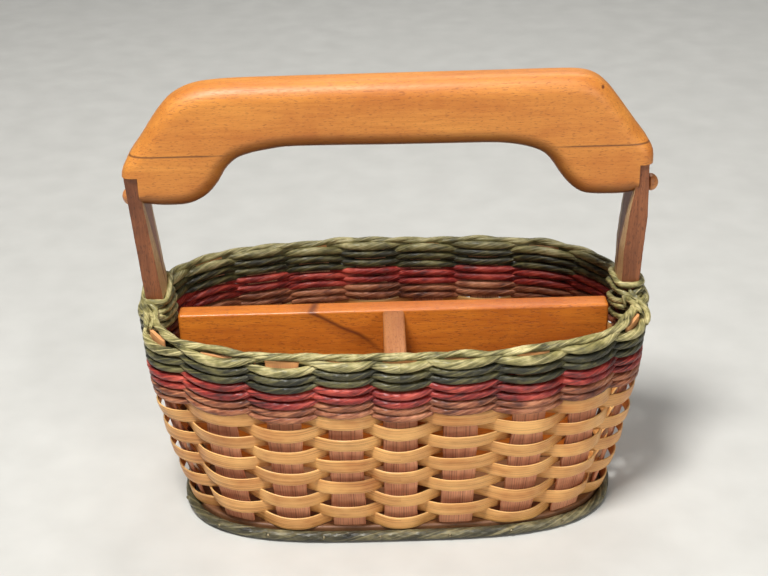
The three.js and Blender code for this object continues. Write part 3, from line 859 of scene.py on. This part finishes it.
def eased_copy(node, width):
    """A copy of a CAD solid with rounded edges."""
    shape = loaded(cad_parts[node].data)
    bmesh.ops.remove_doubles(shape, verts=shape.verts, dist=0.001 * MM)
    bmesh.ops.dissolve_limit(shape, angle_limit=math.radians(1), verts=shape.verts, edges=shape.edges)
    sharp = [e for e in shape.edges if e.is_manifold and e.calc_length() > SHORTEST_EASED * MM
             and e.calc_face_angle(0) > math.radians(35)]
    bmesh.ops.bevel(shape, geom=sharp, offset=width, segments=3, profile=0.6, affect="EDGES",
                    clamp_overlap=True)
    return finished(shape, node)


def add_woodwork():
    for side, outward in SIDES.items():
        node = f"strut_{side}"
        strut = add_piece(f"{node}_wood", carved_strut(side), WALNUT, node)
        wear_facets(strut, outward)
        add_peg(side)
    for node, look in (("divider_long", DIVIDER_WOOD), ("divider_cross", CROSS_WOOD)):
        add_piece(f"{node}_wood", eased_copy(node, DIVIDER_EDGE * MM), look, node)


def rounded_corners(corners, radii):
    """A ring of points round a polygon, with each corner rounded."""
    ring = []
    for i, corner in enumerate(corners):
        before = unit(corners[i - 1] - corner)
        after = unit(corners[(i + 1) % len(corners)] - corner)
        start, end = corner + before * radii[i], corner + after * radii[i]
        for t in np.linspace(0, 1, 4):
            ring.append((1 - t) ** 2 * start + 2 * t * (1 - t) * corner + t**2 * end)
    return np.array(ring)


def carved_strut(side):
    """A strut through the CAD's levels, with a facet on its inner edges that widens downwards."""
    outward = SIDES[side]
    points = node_points(f"strut_{side}") * (outward, 1, 1)
    points = points[np.abs(points[:, 1]) > PEG_HOLE_REACH * MM]
    levels = [points[points[:, 2] == height] for height in np.unique(points[:, 2])]
    levels = [level for level in levels if len(level) >= 4]
    known = [level[0, 2] for level in levels]
    reach = np.array([[level[:, 0].max(), level[:, 0].min(), level[:, 1].max()] for level in levels])
    z = np.unique(np.concatenate([known, np.arange(known[0], known[-1], STRUT_STEP * MM)]))
    outer, inner, depth = (np.interp(z, known, reach[:, k]) for k in range(3))
    body = smooth_step(z, (STRUT_BODY_FOOT - 8) * MM, (STRUT_BODY_FOOT + 2) * MM)
    widening = smooth_step(-z, -STRUT_TOP * MM, -STRUT_BODY_FOOT * MM)
    least, most = FACET_SIZE
    facet = (FACET_ON_TONGUE + body * (least + (most - least) * widening)) * MM
    rng = np.random.default_rng(3 if side == "right" else 4)
    rings = []
    for i, height in enumerate(z):
        wave = rng.normal(0, STRUT_UNEVENNESS * MM, 2) * body[i]
        o, n, d, f = outer[i] + wave[0], inner[i] + wave[1], depth[i], facet[i]
        deep, far = n - f * FACET_LEAN, d - f * FACET_LENGTH
        corners = np.array([(o, -d), (o, d), (n, d), (deep, far), (deep, -far), (n, -d)])
        edge = min(STRUT_EDGE * MM, (o - n) / 4)
        ring = rounded_corners(corners, [edge] * 2 + [0.2 * MM] * 4)
        if outward < 0:
            ring = ring[::-1] * (-1, 1)
        rings.append(np.column_stack([ring, np.full(len(ring), height)]))
    shape = Shape()
    rings = np.array(rings)
    shape.grid(rings[::-1], z[::-1], np.linspace(0, 70 * MM, rings.shape[1] + 1))
    strut = loaded(shape.mesh("strut"))
    bmesh.ops.recalc_face_normals(strut, faces=strut.faces)
    return finished(strut, "strut")


def wear_facets(strut, outward):
    """The struts' inner facets are worn paler than the rest."""
    strut.data.materials.append(WORN_WALNUT)
    for face in strut.data.polygons:
        leans = 0.05 < abs(face.normal.y) < 0.6 and face.normal.x * outward < -0.6
        if leans and face.center.z > STRUT_BODY_FOOT * MM:
            face.material_index = 1


def add_peg(side):
    """A round peg with a hand-cut domed head."""
    low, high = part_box(f"peg_{side}")
    middle = (low + high) / 2
    head = (high.z - low.z) / 2
    outward = SIDES[side]
    inner, tip = sorted((abs(low.x), abs(high.x)))
    shank = PEG_SHANK * MM
    profile = [(inner, shank), (tip - (PEG_HEAD + PEG_NECK) * MM, shank)]
    profile += [(tip + (reach - PEG_HEAD) * MM, head * share) for reach, share in PEG_DOME]
    turn = np.arange(28) / 28 * 2 * math.pi
    lumps = 1 + 0.03 * np.cos(5 * turn + outward)
    rings = []
    for x, radius in profile:
        y = middle.y + radius * lumps * np.cos(turn) * outward
        z = middle.z + radius * lumps * np.sin(turn)
        rings.append(np.column_stack([np.full(28, x * outward), y, z]))
    shape = Shape()
    shape.grid(np.array(rings), np.linspace(0, 26 * MM, len(rings)), np.linspace(0, 30 * MM, 29))
    add_piece(f"peg_{side}_turned", shape.mesh("peg"), PEG_WOOD, f"peg_{side}")


# The grip's outline seen from the front, counter-clockwise from its left end. In mm.
GRIP_UNDERSIDE = [
    (-148, 190), (-142, 185), (-134, 182.6), (-123, 182), (-113, 183), (-104, 187.5), (-97, 195),
    (-92, 203), (-86, 208.6), (-78, 211.6), (-68, 213.6), (-56, 215), (-30, 215), (0, 214.6),
    (30, 214.4), (56, 214.2), (68, 213.2), (78, 211), (86, 207.5), (91, 202), (96, 194.5),
    (100.5, 189), (106, 184.4), (112, 182.4), (125, 181.8), (134, 182.4), (142, 185), (146.6, 190)]
GRIP_TOP_SIDE = [
    (147, 197), (147, 207.5), (145, 213), (137.4, 223.4), (129, 235), (121.4, 244.6), (114, 250.3),
    (105, 252.6), (90, 253), (60, 252.9), (0, 252.8), (-60, 252.6), (-85, 252.4), (-99, 251.6),
    (-108, 250.2), (-116, 247.2), (-123.5, 242), (-131.5, 232.5), (-138, 223), (-145.4, 213),
    (-149.6, 205), (-150.2, 197)]


def rounded_grip():
    """The whole grip as one solid: its outline, drawn in towards the front and back faces."""
    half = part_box("grip_block_right")[1].y
    outline = smooth_curve(np.array(GRIP_UNDERSIDE + GRIP_TOP_SIDE) * MM, 240, closed=True)
    tangents = unit(np.roll(outline, -1, 0) - np.roll(outline, 1, 0))
    inward = np.column_stack([-tangents[:, 1], tangents[:, 0]])
    reach, height = np.abs(outline[:, 0]) / MM, outline[:, 1] / MM
    lip = smooth_step(reach, *LIP_REACH) * (1 - smooth_step(height, *LIP_HEIGHT))
    radius = (GRIP_ROUNDING + (LIP_ROUNDING - GRIP_ROUNDING) * lip) * MM
    rings = []
    for side in (-1, 1):
        for angle in np.linspace(90, 0, 9)[:: 1 if side < 0 else -1]:
            a = math.radians(angle)
            inset = outline + inward * (radius * (1 - math.cos(a)))[:, None]
            y = side * (half - radius + radius * math.sin(a))
            rings.append(np.column_stack([inset[:, 0], y, inset[:, 1]]))
    shape = Shape()
    across = np.linspace(0, 0.8, len(outline) + 1)
    shape.grid(np.array(rings), np.linspace(0, 40 * MM, len(rings)), across)
    return shape.mesh("grip")


def cut_away(mesh, point, normal):
    """Keeps the side of a closed mesh that the plane's normal points to, and closes the cut."""
    shape = loaded(mesh)
    geometry = shape.verts[:] + shape.edges[:] + shape.faces[:]
    bmesh.ops.bisect_plane(shape, geom=geometry, plane_co=point, plane_no=normal,
                           clear_inner=True, dist=1e-7)
    bmesh.ops.holes_fill(shape, edges=[e for e in shape.edges if e.is_boundary])
    bmesh.ops.recalc_face_normals(shape, faces=shape.faces)
    return finished(shape, mesh.name)


def minus_box(mesh, low, high):
    """A mesh with a box cut out of it."""
    shape = bmesh.new()
    bmesh.ops.create_cube(shape, size=1)
    size, middle = Vector(high) - Vector(low), (Vector(high) + Vector(low)) / 2
    stretch = Matrix.Translation(middle) @ Matrix.Diagonal((*size, 1))
    bmesh.ops.transform(shape, matrix=stretch, verts=shape.verts)
    cutter, holder = linked("cutter", finished(shape, "cutter")), linked("holder", mesh)
    modifier = holder.modifiers.new("notch", "BOOLEAN")
    modifier.operation, modifier.solver, modifier.object = "DIFFERENCE", "EXACT", cutter
    graph = bpy.context.evaluated_depsgraph_get()
    result = bpy.data.meshes.new_from_object(holder.evaluated_get(graph))
    bpy.data.objects.remove(holder)
    bpy.data.objects.remove(cutter)
    return result


def notch_box(side, outward):
    """The space for the strut's top in the grip's end: an upright box from the block's inner face at the
    strut's top, outwards.
    """
    points = node_points(f"grip_block_{side}")
    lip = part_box(f"strut_{side}")[1].z + NOTCH_CLEARANCE * MM
    face = points[(np.abs(points[:, 2] - lip) < 0.05 * MM)]
    inner = np.abs(face[:, 0]).min() * outward
    x = sorted((inner, inner + 30 * MM * outward))
    return (x[0], -50 * MM, 150 * MM), (x[1], 50 * MM, lip)


def add_grip():
    whole = rounded_grip()
    beam = cut_away(whole, (0, 0, GLUE_HEIGHT + GLUE_GAP * MM), (0, 0, 1))
    add_piece("grip_beam_carved", beam, GRIP_WOOD, "grip_beam")
    lower = cut_away(whole, (0, 0, GLUE_HEIGHT), (0, 0, -1))
    for side, outward in SIDES.items():
        block = cut_away(lower, (0, 0, 0), (outward, 0, 0))
        block = minus_box(block, *notch_box(side, outward))
        add_piece(f"grip_block_{side}_carved", block, GRIP_WOOD, f"grip_block_{side}")


# Each lashing as strands of cord. A point is the distance from the strut's middle outwards,
# the distance along Y and the height, in mm.
LEFT_LASHING = [
    # the top turn, from the rim in front and round the outside
    [(2, -36, 120.5), (3, -27, 121), (4.5, -18, 122), (6.6, -12, 123.5), (7.2, 0, 126),
     (6.6, 12, 128), (0, 14.8, 129.4), (-6.4, 12.5, 130), (-7.6, 0, 127.6),
     (-6.6, -11, 124.6), (0, -14.8, 122.2), (5.6, -13.4, 123.2), (7, -8, 124.6)],
    # turns that slope down towards the back
    [(5, -14.4, 126), (-1, -15, 125.6), (-6, -12, 124.4), (-7.8, 0, 122.8), (-6.9, 12.5, 120.8),
     (-1, 15, 120), (5, 14.5, 119)],
    [(5.5, -15.4, 119.4), (0.5, -15.4, 119.2), (-5.8, -12.4, 119), (-8.2, 0, 117.8), (-8, 12.5, 116.4),
     (-1, 15.6, 116), (6, 14, 116)],
    [(4, -16, 115.6), (-0.8, -15.6, 115), (-5.8, -12.4, 114.2), (-8, 0, 112.2), (-7.8, 12.5, 110.1),
     (0, 15.8, 110), (6, 15.5, 111)],
    [(3, -16.5, 111.6), (-2.7, -15.6, 110.7), (-5.8, -12.4, 109.6), (-7.6, 0, 107), (-7.4, 12.5, 104.6),
     (0, 16, 104.5), (5, 16, 106)],
    # a strand that crosses the front, and the end of the rim cord
    [(4.6, -14.2, 126.4), (4.4, -15.8, 122.4), (2.2, -17.6, 119.4), (-2.4, -19, 118.4), (-6, -17, 117)],
    [(0, -35, 119), (-1.5, -26, 120), (-1.2, -18.5, 121.6), (1.4, -15.6, 124), (5.4, -13, 126.6)],
]
RIGHT_LASHING = [
    # the top turn, level across the front
    [(7.4, 2, 127.6), (6.6, -12, 128.4), (0, -14.8, 128.2), (-6.4, -12.4, 128.2),
     (-7.4, 0, 127.4), (-6.8, 12.4, 126), (0, 14.8, 127), (6.8, 12, 127.6), (7.4, 2, 127.6)],
    # two turns that cross on the front
    [(7.6, -4, 124.6), (6.4, -12.8, 125), (2, -15.4, 123.4), (-3.6, -14.8, 118.6), (-7, -8, 115.6),
     (-7.8, 2, 112.6), (-7, 12.4, 110), (0, 15, 110)],
    [(6.8, -12.8, 121), (2, -15.8, 120.8), (-3.6, -15, 122.8), (-7.4, -9, 123.4), (-8, 2, 121.6),
     (-8, 12.5, 119.4), (0, 15, 119), (6, 14, 119)],
    [(3, -16, 114.6), (-2, -15.6, 114.4), (-6, -12, 113.4), (-7.4, 0, 110), (-6.2, 12.5, 106.2),
     (0, 15, 106)],
    [(2, -17, 108.4), (-2, -15.6, 107.8), (-5.6, -12, 106.8), (-6.8, 0, 103.4),
     (-5.6, 12.5, 99.4), (0, 15.5, 100)],
    # down over the rim at the front
    [(-1, -14.4, 125.6), (0.6, -16.2, 123.2), (3.4, -19, 121), (6.4, -25, 119), (7.2, -31, 117),
     (5.6, -38, 114.4)],
    [(-2.6, -15.6, 121.6), (-1.6, -19, 121), (1, -26, 120.8), (2.6, -34, 120.6)],
    [(-3.6, -14.4, 124.4), (-3.4, -16.6, 119.8), (-3, -17.4, 115.6)],
]


def add_lashing(side, strands):
    """Turns of cord that tie a strut's foot to the rim and to the rows below it."""
    points = node_points(f"strut_{side}")
    foot = points[np.abs(points[:, 2] - STRUT_BODY_FOOT * MM) < 0.1 * MM, 0]
    middle = (foot.min() + foot.max()) / 2
    outward = SIDES[side]
    shape = Shape()
    radius = LASHING_RADIUS * MM
    for strand in strands:
        points = np.array(strand) * MM
        points[:, 0] = middle + points[:, 0] * outward
        length = np.linalg.norm(np.diff(points, axis=0), axis=1).sum()
        centres = smooth_curve(points, int(length / (LASHING_STEP * MM)))
        order = np.arange(len(centres))
        taper = 0.55 + 0.45 * smooth_step(np.minimum(order, order[::-1]), 0, 5)
        cord(shape, centres, steady_ups(centres), radius * taper, radius * taper, closed=False, sides=14)
    add_piece(f"lashing_{side}_turns", shape.mesh("lashing"), CORD_LOOKS["light_green"],
              f"lashing_{side}")


def steady_ups(centres):
    """Directions square to an open path that turn as little as possible."""
    tangents = unit(np.gradient(centres, axis=0))
    ups = [unit(np.cross(tangents[0], (0.3, 0.2, 0.93)))]
    for tangent in tangents[1:]:
        up = ups[-1] - tangent * (ups[-1] @ tangent)
        ups.append(unit(up))
    return np.array(ups)


add_base()
add_stakes()
add_reeds()
add_cord_rows()
add_rim_cord()
add_woodwork()
add_grip()
add_lashing("right", RIGHT_LASHING)
add_lashing("left", LEFT_LASHING)

# ---- studio ----


def add_floor():
    look = Look("floor_paint")
    grain = look.noise(look.place((30, 30, 30)), detail=3)
    colour = look.ramp(grain, (0.3, rgb(199, 197, 190)), (0.7, rgb(206, 204, 197)))
    look.finish(colour, look.span(grain, 0.3, 0.7, 0.55, 0.65))
    mesh = bpy.data.meshes.new("floor")
    corners = [(x * FLOOR_HALF, y * FLOOR_HALF, 0) for x, y in ((-1, -1), (1, -1), (1, 1), (-1, 1))]
    mesh.from_pydata(corners, [], [(0, 1, 2, 3)])
    mesh.materials.append(look.material)
    linked("floor", mesh)


def add_light(name, place, size, power):
    data = bpy.data.lights.new(name, "AREA")
    data.shape, data.size, data.energy = "DISK", size, power
    light = linked(name, data)
    light.location = place
    light.rotation_euler = (Vector(LIGHT_AIM) - Vector(place)).to_track_quat("-Z", "Y").to_euler()


def add_studio():
    add_floor()
    for light in LIGHTS:
        add_light(*light)
    world = bpy.data.worlds.new("studio")
    world.use_nodes = True
    background = world.node_tree.nodes["Background"]
    background.inputs["Color"].default_value = SKY
    background.inputs["Strength"].default_value = SKY_STRENGTH
    bpy.context.scene.world = world
    bpy.context.scene.view_settings.view_transform = "Standard"


def add_camera():
    """The camera stands in front of the basket, looks down on it and leans a little."""
    pitch, yaw, lean = np.radians((CAMERA_PITCH, CAMERA_YAW, CAMERA_LEAN))
    ahead = Vector((math.sin(yaw) * math.cos(pitch), math.cos(yaw) * math.cos(pitch),
                    -math.sin(pitch)))
    right = Vector((math.cos(yaw), -math.sin(yaw), 0))
    up = right.cross(ahead)
    across = right * math.cos(lean) + up * math.sin(lean)
    upward = up * math.cos(lean) - right * math.sin(lean)
    data = bpy.data.cameras.new("camera")
    data.lens = CAMERA_LENS
    camera = linked("camera", data)
    turn = Matrix((across, upward, -ahead)).transposed().to_4x4()
    camera.matrix_world = Matrix.Translation(CAMERA_PLACE) @ turn
    bpy.context.scene.camera = camera


add_studio()
add_camera()
